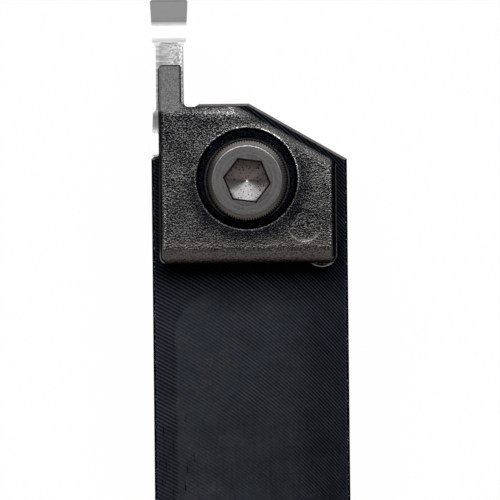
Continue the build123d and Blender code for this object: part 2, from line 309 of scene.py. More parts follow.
@dataclass(frozen=True)
class BlackOxide(Finish):
    """Milled steel under a bluish black oxide, with the face mill's arcs on every side."""

    colour: Colour = (0.0105, 0.012, 0.0165)
    pale: Colour = (0.046, 0.0515, 0.062)
    warm: Colour = (0.085, 0.068, 0.055)
    black: Colour = (0.0018, 0.0028, 0.0052)
    chip_and_sheen: Colour = (0.3, 0.29, 0.28)
    grazing: float = 0.35
    half_width: float = 12.5
    chamfer: float = 0.3
    mill_radius: float = 82.0
    mill_centre: float = -50.2
    feed: float = 0.49
    worn_left: float = -9.7
    worn_right: Span = (4.0, 9.0)
    worn_front: Span = (35.8, 38.6)
    worn_corner: float = 33.3
    fade_right: float = 7.0
    near_x: Span = (-5.0, -2.5)
    low_y: Span = (20.0, 24.5)
    clamp_shadow_y: Span = (34.7, 40.6)
    dip: Point = (-2.5, 35.8)
    rust_size: float = 2.6
    rust_x: Span = (-7.0, 2.0)
    score_size: float = 0.35
    score_x: Span = (-6.0, -4.0)
    score_y: Span = (20.0, 24.0)
    sway_size: float = 6.0
    patch_size: float = 4.5
    cloud_size: float = 3.0
    fleck_size: float = 0.3
    chip_size: float = 0.22
    arc_depth: float = 0.02
    fleck_depth: float = 0.004

    def _wave(self, sheet: NodeSheet, across: Wire, along: Wire) -> Tuple[Wire, Wire]:
        """The mill's arcs on one side.

        Args:
            sheet: the node sheet.
            across: the place across the shank.
            along: the place along the shank.

        Returns:
            A wave from 0 to 1 over each arc, and the number of the arc with its fraction.
        """
        offset = across - self.mill_centre
        bow = sheet.function("SQRT", self.mill_radius**2 - offset * offset)
        phase = (along - bow) / self.feed
        return sheet.function("SINE", phase * (2 * math.pi)) * 0.5 + 0.5, phase

    def _worn(self, sheet: NodeSheet, spot: Wire, across: Wire, along: Wire) -> Wire:
        """How rubbed a place is: most in a round-cornered patch behind the head.

        Args:
            sheet: the node sheet.
            spot: the place on the piece.
            across: the place across the shank.
            along: the place along the shank.

        Returns:
            0 on fresh oxide and 1 where it is rubbed.
        """
        sway = sheet.grain(spot, self.sway_size, 3.0, 0.55) - 0.5
        beyond = sheet.most(along - self.worn_corner, 0.0)
        turn_left = beyond * beyond * 0.2
        soft = 0.25 + turn_left * 0.4
        left = sheet.ramp((across - turn_left + sway * 2.0 - self.worn_left) / soft, -0.8, 1.0)
        right = sheet.fall(across + sway * 5.0, *self.worn_right)
        front = sheet.fall(along + across * 0.16 + sway * 3.0, *self.worn_front)
        return left * right * front

    def _edges(self, sheet: NodeSheet, tone: Wire, spot: Wire, across: Wire, head: Wire, fleck: Wire) -> Wire:
        """Chips and rubs the chamfers and the long edges, and paints a highlight on the chamfers that face
        the cutting edge's side.

        Args:
            sheet: the node sheet.
            tone: the colour so far.
            spot: the place on the piece.
            across: the place across the shank.
            head: 1 where the clamp's shadow is painted black on the head's top.
            fleck: the finest grain.

        Returns:
            The colour with its edges.
        """
        _, ny, nz = sheet.facing()
        up = abs(nz)
        slant = sheet.ramp(up, 0.2, 0.3) * sheet.fall(up, 0.86, 0.94)
        chips = sheet.ramp(sheet.grain(spot, self.chip_size, 2.0, 0.65), 0.6, 0.68)
        edge = sheet.blend(chips * 0.7, self.black, self.chip_and_sheen)
        # Painted highlight: chamfers that face the cutting edge's side, where the key lamp is, get the
        # lighter warm and chip colours.
        edge = sheet.blend(sheet.ramp(ny, 0.2, 0.35), edge, sheet.blend(fleck, self.warm, self.chip_and_sheen))
        inner = self.half_width - self.chamfer
        rim = sheet.ramp(abs(across), inner - 0.3, inner - 0.05) * (1 - head * 0.35)
        tone = sheet.blend(rim * (0.25 + chips * 0.5), tone, self.pale)
        return sheet.blend(slant, tone, edge)

    def draw(self, sheet: NodeSheet) -> None:
        """Draws the oxide with its arcs, its rubbed and rusty patch, its scores, its edges and the clamp's
        shadow painted black on the head's top.

        Args:
            sheet: the empty sheet.
        """
        spot = sheet.spot()
        x, y, z = sheet.split(spot)
        level = sheet.ramp(abs(sheet.facing()[2]), 0.6, 0.8)
        across = x * level + (z - self.half_width) * (1 - level)
        cloud = sheet.grain(spot, self.cloud_size, 3.0)
        fleck = sheet.grain(spot, self.fleck_size)
        patch = sheet.ramp(sheet.grain(spot, self.patch_size, 3.0), 0.38, 0.62)

        worn = self._worn(sheet, spot, across, y)
        low = sheet.fall(y + patch * 3.0, *self.low_y)
        near = sheet.fall(across + patch * 2.0, *self.near_x)
        rubbed = sheet.least(worn * (0.4 + patch * 0.45 + low * 0.5 + near * 0.4), 1.0)
        rubbed = sheet.most(rubbed, low * 0.4)
        wave, phase = self._wave(sheet, across, y)
        uneven = sheet.grain(sheet.vector(across * 0.06, phase, level * 9), 1.6)
        cut = (wave * 0.75 + uneven * 0.5 - 0.1) * (1 - rubbed * 0.8)
        # head: 1 where the clamp's shadow, behind and beside it, is painted on the head's top.
        head = sheet.ramp(y, *self.clamp_shadow_y) * level

        fade = sheet.fall(across, self.worn_left, self.fade_right, 0.5)
        share = 0.22 + worn * (fade * 0.3 + near * 0.06) - sheet.ramp(across, *self.worn_right) * 0.2
        share = share + (cloud - 0.5) * 0.45 + (fleck - 0.5) * 0.25
        share = share + (cut - 0.4 + rubbed * 0.3) * (0.42 + head * 0.5)
        streak = sheet.grain(sheet.vector(across, y * 0.1, z), self.score_size) - 0.5
        dip = sheet.line(across, self.dip[0], 4.5, 0.5) * sheet.line(y, self.dip[1], 2.0, 0.2)
        share = share + streak * low * 0.4 - dip * worn * 0.2
        tone = sheet.blend(sheet.most(share, 0.0), self.colour, self.pale)

        rust = sheet.ramp(sheet.grain(spot, self.rust_size, 4.0, 0.65), 0.48, 0.72)
        rust = rust * sheet.ramp(fleck, 0.3, 0.7) * worn * sheet.fall(across, *self.rust_x, 0.45)
        tone = sheet.blend(rust * 0.38, tone, self.warm)
        score = sheet.grain(sheet.vector(across, y * 0.12, level * 5), self.score_size, 1.0, 0.5)
        scored = sheet.ramp(score, 0.66, 0.72) * sheet.fall(across + cloud * 5, *self.score_x)
        scored = scored * sheet.fall(y, *self.score_y)
        # Painted shadow: under the clamp's shade the head's top goes near black, with the arcs' crests
        # showing through. The scores are real dark scratches.
        dark = head * (0.98 - sheet.ramp(cut, 0.5, 0.95) * 0.48) + scored * 0.8
        tone = sheet.blend(sheet.least(dark, 1.0), tone, self.black)
        tone = self._edges(sheet, tone, spot, across, head, fleck)

        rough = 0.34 + cloud * 0.1 + fleck * 0.08
        normal = sheet.relief(fleck, self.fleck_depth, sheet.relief(cut, self.arc_depth))
        sheet.surface(tone, 1.0, rough, normal, self.grazing)


@dataclass(frozen=True)
class ClampPlace:
    """The wires that the layers of the clamp's skin share: where a place is, how it faces, its grain."""

    sheet: NodeSheet
    spot: Wire
    x: Wire
    y: Wire
    z: Wire
    nx: Wire
    ny: Wire
    nz: Wire
    small: Wire
    large: Wire


@dataclass(frozen=True)
class CastSkin(Finish):
    """The clamp's pebbled casting skin, with a smooth ground finger, painted shadow in its bore and on its
    leg and walls, and painted highlights and glints on its edges and grains.
    """

    colour: Colour = (0.033, 0.0325, 0.032)
    dark: Colour = (0.005, 0.0055, 0.0078)
    bright: Colour = (0.19, 0.186, 0.182)
    glint: Colour = (0.3, 0.293, 0.286)
    shiny: Colour = (0.48, 0.47, 0.46)
    lit_bevel: Colour = (0.1, 0.099, 0.098)
    brown: Colour = (0.175, 0.157, 0.145)
    lit_crown: Colour = (0.32, 0.296, 0.28)
    earth: Colour = (0.058, 0.051, 0.046)
    black: Colour = (0.003, 0.0036, 0.0065)
    ground: Colour = (0.255, 0.255, 0.255)
    shade: Colour = (0.1, 0.1, 0.1)
    foot_highlight: Colour = (0.2, 0.2, 0.205)
    shadow: Colour = (0.009, 0.012, 0.02)
    bore_top_light: Colour = (0.035, 0.05, 0.085)
    lip_highlight: Colour = (0.7, 0.69, 0.68)
    grazing: float = 0.08
    grain_size: float = 0.25
    grain_stretch: float = 1.4
    fine_size: float = 0.24
    cloud_size: float = 2.4
    satin_size: float = 0.16
    skin_depth: float = 0.13
    ground_depth: float = 0.006
    top_z: float = 33.0
    tip_y: float = 66.6
    front_y: float = 61.2
    crease_y: float = 60.45
    rear_y: float = 41.2
    corner_radius: float = 0.9
    finger_right: float = -8.7
    left_x: float = -11.55
    right_x: float = 11.1
    bore_axis: Point = (-0.3, 51.98)
    bore_radius: float = 6.35
    leg_axis: Point = (9.12, 42.8)
    leg_radius: float = 2.3
    leg_top: float = 27.7
    mark_axis: Point = (7.0, 46.0)
    mark_radius: float = 2.07
    diagonal_y: float = 61.9
    diagonal_degrees: float = 30.0
    diagonal_inset: float = 1.9
    slope_y: Span = (42.1, 44.2)
    brownish_y: Span = (42.7, 46.7)
    speck_glint_y: Span = (43.5, 58.0)
    glint_y: Span = (54.0, 60.0)
    dusk_y: Span = (51.0, 57.0)
    dusk_x: Span = (-7.5, -1.0)

    def _inset(self, sheet: NodeSheet, inside: Wire, y: Wire) -> Wire:
        """How far a place is inside the foot of a side wall and of its round rear corner.

        Args:
            sheet: the node sheet.
            inside: how far it is inside the side wall alone.
            y: the place along the shank.

        Returns:
            The distance, which is 0 on the walls' feet.
        """
        beside = sheet.most(self.corner_radius - inside, 0.0)
        behind = sheet.most(self.rear_y + self.corner_radius - y, 0.0)
        return self.corner_radius - sheet.reach(beside, behind)

    def _crests(self, at: ClampPlace) -> Wire:
        """Where the top's edges get a painted highlight, partly rubbed bright.

        Args:
            at: the shared wires.

        Returns:
            0 on the open top and up to 1.8 on an edge.
        """
        sheet = at.sheet
        turn = math.radians(self.diagonal_degrees)
        along = (at.y - self.diagonal_y) * math.cos(turn) + at.x * math.sin(turn)
        crests = sheet.most(
            sheet.line(at.y, self.crease_y - 0.1, 0.4),
            sheet.line(along, -self.diagonal_inset, 0.4) * 1.8,
            sheet.line(at.y, self.rear_y + 2.1, 0.4) * 0.12,
            sheet.line(at.x, self.left_x + 0.65, 0.4) * 0.4,
            sheet.line(at.x, self.right_x - 0.75, 0.35) * 0.45,
        )
        return crests * sheet.ramp(at.z, self.top_z - 0.8, self.top_z - 0.4)

    def _open_skin(self, at: ClampPlace, speck: Wire, slope: Wire, rear: Wire) -> Wire:
        """Colours the open casting: its pebbles with painted glints, its edges with a painted highlight, its
        sloping back lighter at its crown, and painted light on its nose and bevels.

        Args:
            at: the shared wires.
            speck: 1 on the brightest grains, which get painted glints.
            slope: 1 on the sloping back.
            rear: 1 on the brownish rear of the top.

        Returns:
            The colour.
        """
        sheet = at.sheet
        tone = sheet.blend(sheet.ramp(at.small, 0.4, 0.58), self.dark, self.colour)
        # Painted glints on the brightest grains, more and brighter towards the cutting edge's side, where the
        # key lamp stands.
        grains = sheet.blend(sheet.ramp(at.y, *self.glint_y), self.bright, self.glint)
        tone = sheet.blend(speck * sheet.ramp(at.y, *self.speck_glint_y, 0.35, 0.9), tone, grains)
        tone = sheet.blend(rear * (1 - speck) * 0.7, tone, self.earth)

        _, along, reach = sheet.around(at.x, at.y, self.mark_axis)
        ring = sheet.line(reach, self.mark_radius + 0.05, 0.1) * sheet.fall(along, -1.0, 1.0, 0.4)
        crests = self._crests(at) * (0.1 + sheet.ramp(at.small, 0.46, 0.6) * 1.3)
        # Painted highlight along the top's edges, partly real rubbing, and a lighter rim on the round mark.
        tone = sheet.blend(sheet.least(crests * 0.62 + ring * 0.3, 1.0), tone, self.shiny)

        # The sloping back is brownish. It is painted lighter towards its crown and darker towards its foot,
        # as light falls on the rounded slope.
        high = sheet.ramp(at.y, self.rear_y + 1.0, self.rear_y + 1.7)
        slope_tint_and_light = sheet.blend(high, self.brown, self.lit_crown)
        tone = sheet.blend(slope * sheet.ramp(at.small, 0.36, 0.56, 0.1, 1.0), tone, slope_tint_and_light)
        # Painted light: faces turned to the cutting edge's side, the nose and the bevels, are lightened.
        lit = sheet.ramp(at.ny, 0.12, 0.35) * sheet.ramp(at.nz, 0.2, 0.5)
        lit_nose = lit * sheet.fall(at.nx, 0.1, 0.2)
        tone = sheet.blend(lit_nose * (0.15 + sheet.ramp(at.small, 0.35, 0.6) * 0.2), tone, self.glint)
        return sheet.blend((lit - lit_nose) * 0.7, tone, self.lit_bevel)

    def _walls(self, at: ClampPlace, tone: Wire) -> Tuple[Wire, Wire]:
        """Paints shade black on the side walls and along the top's side edges, and paints thin highlight
        lines along the walls' feet.

        Args:
            at: the shared wires.
            tone: the colour so far.

        Returns:
            The colour with the walls, and 1 where they are.
        """
        sheet, x, y = at.sheet, at.x, at.y
        shaded_walls = sheet.fall(at.nz, 0.5, 0.78) * sheet.ramp(y, self.rear_y, self.rear_y + 1.5)
        shaded_walls = shaded_walls * (1 - sheet.ramp(at.ny, 0.1, 0.3) * sheet.ramp(at.nz, 0.1, 0.4))
        drawn_in = x + sheet.ramp(y, self.crease_y, self.front_y, 0.0, 0.14)
        left = sheet.fall(drawn_in, self.left_x + 0.16, self.left_x + 0.32)
        right = sheet.ramp(x, self.right_x - 0.85, self.right_x - 0.5)
        sides = sheet.most(left, right) * sheet.ramp(y, self.rear_y + 0.3, self.rear_y + 1.0)

        inset = self._inset(sheet, self.right_x - x, y)
        outer = sheet.ramp(x, self.right_x - 0.85, self.right_x - 0.55)
        shaded_walls = sheet.most(shaded_walls, sides, outer * sheet.fall(inset, 0.35, 0.5))
        # Painted shade: the side walls and the strips along the top's side edges go black.
        tone = sheet.blend(shaded_walls * 0.95, tone, self.black)
        # Painted highlight: a thin light line along the right wall's foot and round its rear corner.
        skirt_highlight = sheet.line(inset, 0.06, 0.1) * sheet.ramp(at.small, 0.3, 0.5) * outer
        tone = sheet.blend(skirt_highlight * (1 - sheet.ramp(at.ny, 0.1, 0.3)), tone, self.foot_highlight)

        inset = self._inset(sheet, x - self.left_x, y)
        outer = sheet.fall(x, self.left_x + 0.5, self.left_x + 0.7)
        # Painted shade along the left wall's foot, then a painted glint line in its rear corner.
        tone = sheet.blend(outer * sheet.fall(inset, 0.3, 0.42), tone, self.black)
        nook_glint = sheet.line(inset, 0.07, 0.14) * outer
        nook_glint = nook_glint * sheet.fall(y, self.rear_y + 0.6, self.rear_y + 2.2, 0.2)
        nook_glint = nook_glint * sheet.fall(y, self.crease_y - 6.0, self.crease_y - 5.0)
        return sheet.blend(nook_glint, tone, self.shiny), shaded_walls

    def _painted_shade(self, at: ClampPlace) -> Wire:
        """Where shade is painted on the skin: round the bore's rear, at the front left and along the crease.

        Args:
            at: the shared wires.

        Returns:
            0 on the open skin and 1 in the dark.
        """
        sheet = at.sheet
        across, along, reach = sheet.around(at.x, at.y, self.bore_axis)
        behind = sheet.ramp((across * 0.2 - along) / reach + (at.large - 0.5) * 0.8, -0.85, 0.4)
        ragged = reach + (at.small - 0.5) * 1.2
        bore_shade = sheet.fall(ragged, self.bore_radius + 0.8, self.bore_radius + 2.7) * behind
        dusk = sheet.ramp(at.y, *self.dusk_y) * sheet.ramp(at.x, *self.dusk_x, 0.75, 0.0)
        return sheet.most(bore_shade, dusk, sheet.line(at.y, self.crease_y - 1.1, 1.0) * 0.85)

    def _finger(self, at: ClampPlace) -> Wire:
        """Where the ground finger is.

        Args:
            at: the shared wires.

        Returns:
            1 on the finger and on its ragged start behind the crease, 0 elsewhere.
        """
        sheet = at.sheet
        inner = at.x + (at.small - 0.5) * 1.6
        inner = sheet.fall(inner, self.finger_right - 0.3, self.finger_right + 0.4)
        ragged = at.y + (at.small - 0.5) * 0.8
        start = sheet.ramp(ragged, self.crease_y + 0.05, self.crease_y + 0.35) * inner
        return sheet.most(start, sheet.ramp(at.y, self.front_y, self.front_y + 0.4))

    def _ground(self, at: ClampPlace, tone: Wire, finger: Wire) -> Wire:
        """Colours the finger, with a painted highlight on its left edge and painted shadow lines round it.

        Args:
            at: the shared wires.
            tone: the colour so far.
            finger: 1 on the finger.

        Returns:
            The colour with the finger.
        """
        sheet = at.sheet
        satin = sheet.ramp(sheet.grain(at.spot, self.satin_size), 0.32, 0.68)
        tone = sheet.blend(finger, tone, sheet.blend(satin, self.shade, self.ground))
        beyond = sheet.ramp(at.y, self.front_y + 0.2, self.front_y + 0.7)
        # Painted highlight along the finger's left edge.
        glow = sheet.line(at.x, self.left_x + 0.24, 0.1)
        glow = glow * sheet.fall(at.y, self.tip_y - 0.5, self.tip_y - 0.3)
        tone = sheet.blend(glow * beyond * 0.35, tone, self.shiny)
        # Painted shadow lines along the finger's sides and tip.
        finger_shade_lines = sheet.most(
            sheet.line(at.x, self.finger_right, 0.16),
            sheet.fall(at.x, self.left_x + 0.11, self.left_x + 0.18),
            sheet.ramp(at.y, self.tip_y - 0.17, self.tip_y - 0.08) * 0.8,
        )
        return sheet.blend(finger_shade_lines * beyond, tone, self.black)

    def _bore(self, at: ClampPlace, tone: Wire) -> Wire:
        """Paints shadow into the screw's bore, lighter towards the cutting edge's side with dust specks
        there, and a painted highlight on its lip towards the cutting edge.

        Args:
            at: the shared wires.
            tone: the colour so far.

        Returns:
            The colour with the bore.
        """
        sheet = at.sheet
        across, along, reach = sheet.around(at.x, at.y, self.bore_axis)
        # Painted highlight on the bore's lip, on the side towards the cutting edge.
        lip_highlight = sheet.line(reach, self.bore_radius + 0.22, 0.14)
        lip_highlight = lip_highlight * sheet.ramp((along + across * 0.35) / reach, 0.0, 0.9, 0.1, 1.0)
        tone = sheet.blend(lip_highlight * sheet.ramp(at.small, 0.35, 0.55, 0.3, 1.0), tone, self.lip_highlight)
        dust = sheet.ramp(at.small, 0.66, 0.7) * sheet.ramp(along, 1.0, 4.5)
        # Painted shadow fills the bore, lighter towards the cutting edge's side.
        hollow = sheet.blend(sheet.ramp(along, 2.5, 5.8), self.shadow, self.bore_top_light)
        bore = sheet.fall(reach, self.bore_radius, self.bore_radius + 0.08)
        return sheet.blend(bore, tone, sheet.blend(dust, hollow, self.shiny))

    def _leg(self, at: ClampPlace) -> Tuple[Wire, Wire]:
        """Where the round leg at the rear right corner is.

        Args:
            at: the shared wires.

        Returns:
            1 on the leg, and 1 on the rim that it shows behind the clamp.
        """
        sheet = at.sheet
        _, _, reach = sheet.around(at.x, at.y, self.leg_axis)
        side = sheet.ramp(at.x, self.right_x - 0.05, self.right_x + 0.05)
        leg = sheet.fall(reach, self.leg_radius, self.leg_radius + 0.1)
        leg = leg * sheet.fall(at.z, self.leg_top - 0.1, self.leg_top)
        leg = leg * sheet.most(sheet.fall(at.y, self.rear_y - 0.1, self.rear_y + 0.1), side)
        rim = sheet.ramp(reach, self.leg_radius - 0.35, self.leg_radius - 0.2) * leg * (1 - side)
        return leg, rim

    def draw(self, sheet: NodeSheet) -> None:
        """Lays the skin's layers over each other, and gives them their relief.

        Args:
            sheet: the empty sheet.
        """
        spot = sheet.spot()
        x, y, z = sheet.split(spot)
        flat = sheet.vector(x, y * self.grain_stretch, z)
        pebble = sheet.cells(flat, self.grain_size, "SMOOTH_F1")
        small = sheet.grain(flat, self.grain_size * 0.8)
        large = sheet.grain(spot, self.cloud_size, 3.0, 0.55)
        fine = sheet.grain(spot, self.fine_size)
        at = ClampPlace(sheet, spot, x, y, z, *sheet.facing(), small, large)

        speck = sheet.ramp(small + large * 0.3 + (0.5 - pebble) * 0.2, 0.62, 0.76)
        above = sheet.ramp(z, self.top_z - 3.0, self.top_z - 1.5)
        ragged = y + (small - 0.5) * 1.4 + (large - 0.5) * 1.4
        slope = sheet.fall(ragged, *self.slope_y) * above
        rear = sheet.fall(y + (large - 0.5) * 3.0, *self.brownish_y) * above
        finger = self._finger(at)
        leg, rim = self._leg(at)

        tone = self._open_skin(at, speck, slope, rear)
        tone, shaded_walls = self._walls(at, tone)
        # Painted shade round the bore's rear, at the front left and along the crease, broken by the bright
        # grains.
        tone = sheet.blend(self._painted_shade(at) * (1 - speck * 0.3), tone, self.dark)
        tone = self._ground(at, tone, finger)
        tone = self._bore(at, tone)
        # Painted shade: the leg behind the clamp goes near black, and its rim gets a painted highlight.
        tone = sheet.blend(leg * 0.97, tone, self.black)
        tone = sheet.blend(rim * 0.6, tone, self.shiny)

        smooth = sheet.most(finger, leg, slope * 0.15 + rear * 0.15)
        rough = (0.22 + fine * 0.14) * (1 - smooth) + smooth * (0.36 + fine * 0.14) + shaded_walls * 0.2
        skin = sheet.relief((1 - pebble) * 0.55 + small * 0.5, self.skin_depth)
        normal = sheet.between(smooth, skin, sheet.relief(fine, self.ground_depth))
        sheet.surface(tone, 1.0, rough, normal, self.grazing)


@dataclass(frozen=True)
class GroundCarbide(Finish):
    """Bright carbide: smooth pressed heads, and a waist that is half lined and half sparkling, the sparkling
    half also painted brighter as the lit flank of its groove.

    Each band of painted light or shade across a head is given by its place from the insert's middle, its half
    width, its share and its colour, and each swell by the two limits of its step and its height.
    """

    colour: Colour = (0.66, 0.66, 0.665)
    pressed: Colour = (0.57, 0.57, 0.575)
    dull: Colour = (0.39, 0.39, 0.393)
    spark: Colour = (0.9, 0.9, 0.9)
    metal: float = 0.55
    line_pitch: float = 0.3
    speck_size: float = 0.26
    sway_size: float = 1.2
    relief_depth: float = 0.014
    form_depth: float = 1.0
    lit_and_shaded_bands: Tuple[Tuple[float, float, float, Colour], ...] = (
        (7.66, 0.1, 0.35, (0.3, 0.3, 0.3)),
        (7.42, 0.09, 0.3, (0.55, 0.55, 0.55)),
        (7.28, 0.1, 0.35, (0.3, 0.3, 0.3)),
        (6.58, 0.55, 0.9, (0.85, 0.85, 0.85)),
        (4.95, 0.5, 0.75, (0.36, 0.36, 0.36)),
        (4.3, 0.3, 0.65, (0.9, 0.9, 0.9)),
    )
    swells: Tuple[Tuple[float, float, float], ...] = ((4.0, 5.7, 0.23), (6.1, 6.9, 0.03), (3.0, 4.3, -0.02))
    climb_start: float = 5.4
    climb: float = 0.115
    middle_y: float = 65.0
    waist_half: float = 4.2
    length_half: float = 10.0
    spare_y: Span = (58.0, 61.0)
    sparkling_x: Span = (-9.9, -9.2)

    def _form(self, sheet: NodeSheet, offset: Wire) -> Wire:
        """The swell of the chip groove's floor and back wall, which turns the light more than the mesh does.

        Args:
            sheet: the node sheet.
            offset: how far a place is from the insert's middle.

        Returns:
            A height in millimetres, for level places only.
        """
        form = sheet.most(offset - self.climb_start, 0.0) * self.climb
        for low, high, height in self.swells:
            form = form + sheet.ramp(offset, low, high) * height
        return form * sheet.ramp(sheet.facing()[2], 0.5, 0.7)

    def draw(self, sheet: NodeSheet) -> None:
        """Draws the waist, the heads with their bands of painted light and shade, and the pale land at each
        edge.

        Args:
            sheet: the empty sheet.
        """
        spot = sheet.spot()
        x, y, z = sheet.split(spot)
        offset = abs(y - self.middle_y)
        waist = sheet.fall(offset, self.waist_half, self.waist_half + 0.4)
        streak = sheet.grain(sheet.vector(x * 0.06, y, z), self.line_pitch, 3.0)
        speck = sheet.grain(spot, self.speck_size)
        sway = sheet.grain(spot, self.sway_size, rough=0.5) * 1.2
        # The waist's right half is sparkling and brighter: partly its own grind, partly painted light on that
        # flank of the V groove.
        right = sheet.ramp(x + sway, *self.sparkling_x)
        mottle = streak * (1 - right) + speck * right
        bright = sheet.blend(right, self.colour, self.spark)
        tone = sheet.blend(sheet.ramp(mottle, 0.36, 0.62), self.dull, bright)
        # Painted highlight: the spare head at the rear is painted near white.
        spare = sheet.fall(y, *self.spare_y)
        heads = sheet.blend(spare, sheet.blend(speck * 0.2, self.pressed, self.dull), self.spark)
        tone = sheet.blend(waist, heads, tone)
        # Painted light and shade: bright and dark bands across each head, where the chip groove turns to or
        # from the light.
        for place, half, share, shade in self.lit_and_shaded_bands:
            tone = sheet.blend(sheet.line(offset, place, half) * share * (1 - spare), tone, shade)
        land = sheet.ramp(offset, self.length_half - 0.3, self.length_half - 0.2)
        tone = sheet.blend(land, tone, self.dull)

        rough = 0.4 + speck * 0.04 + waist * speck * 0.12
        lines = sheet.grain(sheet.vector(x * 0.04, y, z), self.line_pitch, 3.0, 0.7)
        height = mottle * waist * 1.6 + speck * (1 - waist) * 0.1 + lines * sheet.line(offset, 7.5, 0.5, 0.1)
        form = sheet.relief(self._form(sheet, offset), self.form_depth)
        sheet.surface(tone, self.metal, rough, sheet.relief(height, self.relief_depth, form))


@dataclass(frozen=True)
class ScrewSizes:
    """The sizes that the screw's finish and its mesh share."""

    axis: Point = (-0.3, 51.75)
    head_top: float = 35.0
    knurl_teeth: int = 96
    hex_half: float = 2.5
    hex_turn: float = -7.8
    hex_depth: float = 3.0
    cone_depth: float = 0.72

    @property
    def hex_floor(self) -> float:
        """The height of the socket's floor, at its walls."""
        return self.head_top - self.hex_depth


@dataclass(frozen=True)
class TurnedSteel(Finish):
    """The screw's grey steel, with fine rings from turning, a dark oxide in its recesses, and painted light
    and shade on its head and socket.
    """

    colour: Colour = (0.153, 0.153, 0.153)
    dark: Colour = (0.072, 0.069, 0.067)
    brown: Colour = (0.05, 0.044, 0.04)
    knurl_rear_shade: Colour = (0.14, 0.125, 0.115)
    rubbed: Colour = (0.27, 0.255, 0.243)
    bright: Colour = (0.42, 0.41, 0.4)
    cone: Colour = (0.12, 0.119, 0.118)
    polished: Colour = (0.2, 0.198, 0.196)
    stain_and_shade: Colour = (0.125, 0.112, 0.105)
    cone_highlight: Colour = (0.46, 0.38, 0.36)
    point: Colour = (0.8, 0.8, 0.8)
    pit: Colour = (0.01, 0.009, 0.009)
    ring_pitch: float = 0.3
    speck_size: float = 0.25
    cloud_size: float = 2.2
    spoke_size: float = 0.12
    ring_depth: float = 0.004
    speck_depth: float = 0.006
    socket_depth: float = 0.002
    pit_spacing: float = 0.58
    flat_radius: float = 4.45
    knurl_root: float = 4.94
    socket_reach: Span = (3.2, 3.4)
    sizes: ScrewSizes = ScrewSizes()

    def _hexagon(self, sheet: NodeSheet, place: Triple) -> Wire:
        """How far a place is from the axis, counted across the socket's flats.

        Args:
            sheet: the node sheet.
            place: the offsets from the axis along X and Y, and the distance.

        Returns:
            The distance, which is half the width across flats on the socket's walls.
        """
        across, along, _ = place
        turns = [math.radians(self.sizes.hex_turn + degrees) for degrees in (30, 90, 150)]
        return sheet.most(*[abs(across * math.cos(turn) + along * math.sin(turn)) for turn in turns])

    def _head(self, sheet: NodeSheet, place: Triple, grains: Triple) -> Wire:
        """Colours the head's turned top, its rim with a painted highlight, and its knurl with painted light
        and shade.

        Args:
            sheet: the node sheet.
            place: the offsets from the axis along X and Y, and the distance.
            grains: the turned rings, the specks and the clouds.

        Returns:
            The colour.
        """
        across, along, reach = place
        rings, speck, cloud = grains
        mottle = rings * 0.55 + speck * 0.25 + cloud * 0.2
        tone = sheet.blend(sheet.ramp(mottle, 0.37, 0.62), self.dark, self.colour)
        stain = sheet.ramp(cloud, 0.5, 0.62) * sheet.ramp(speck, 0.35, 0.6)
        tone = sheet.blend(stain * 0.35, tone, self.stain_and_shade)
        forward = along / reach
        # Painted highlight on the flat's edge, strongest towards the cutting edge's side.
        rim = sheet.line(reach, self.flat_radius - 0.06, 0.12)
        rim = rim * (0.3 + sheet.ramp(forward, 0.5, 0.95) * sheet.ramp(speck, 0.38, 0.58) * 0.7)
        tone = sheet.blend(rim, tone, self.bright)

        # Painted light and shade on the knurl: lighter on its side towards the cutting edge, darker at its
        # rear and brown on its flanks.
        worn = sheet.blend(sheet.ramp(forward, -0.3, 0.6), self.knurl_rear_shade, self.rubbed)
        facing = sheet.ramp(abs(along) / reach, 0.3, 0.95) * sheet.ramp(speck, 0.25, 0.55, 0.4, 1.0)
        side = sheet.blend(facing, self.brown, worn)
        turn = sheet.function("ARCTAN2", along, across) - math.radians(self.sizes.hex_turn)
        # The knurl's valleys go dark, half as much on the side towards the cutting edge.
        valley = sheet.function("COSINE", turn * self.sizes.knurl_teeth) * 0.5 + 0.5
        valley = valley * sheet.ramp(reach, self.knurl_root - 0.2, self.knurl_root)
        valley = valley * (1 - sheet.ramp(along, 0.0, 3.0) * 0.5)
        edge = sheet.ramp(reach, self.flat_radius, self.flat_radius + 0.15)
        return sheet.blend(edge, tone, sheet.blend(valley * 0.75, side, self.pit))

    def _drilled(self, sheet: NodeSheet, place: Triple, speck: Wire) -> Wire:
        """Colours the drilled cone in the socket, which is painted lit as a fan: shade at its rear, a
        highlight towards the cutting edge and a bright point.

        Args:
            sheet: the node sheet.
            place: the offsets from the axis along X and Y, and the distance.
            speck: the fine grain.

        Returns:
            The colour.
        """
        across, along, reach = place
        forward = along / reach
        spokes = sheet.grain(sheet.vector(across / reach, forward, 0.0), self.spoke_size)
        fan = forward + (spokes - 0.5) * 0.6
        streaks = sheet.ramp(spokes * 0.45 + speck * 0.55, 0.36, 0.62)
        tone = sheet.blend(streaks, self.cone, self.polished)
        # Painted shade on the cone's rear part, then a painted highlight fan on its front part.
        tone = sheet.blend(sheet.ramp(fan, -0.65, -0.2), tone, self.stain_and_shade)
        tone = sheet.blend(sheet.ramp(fan, 0.0, 0.5), tone, self.cone_highlight)
        # Painted highlight at the cone's point.
        return sheet.blend(sheet.fall(reach, 0.08, 0.22), tone, self.point)

    def draw(self, sheet: NodeSheet) -> None:
        """Draws the head and the shank, and then the socket with its pits and its painted dark outline.

        Args:
            sheet: the empty sheet.
        """
        spot = sheet.spot()
        x, y, z = sheet.split(spot)
        place = sheet.around(x, y, self.sizes.axis)
        rings = sheet.grain(sheet.vector(place[2], 0.0, 0.0), self.ring_pitch, 3.0, 0.7)
        speck = sheet.grain(spot, self.speck_size, 3.0)
        cloud = sheet.grain(spot, self.cloud_size, 3.0)
        tone = self._head(sheet, place, (rings, speck, cloud))

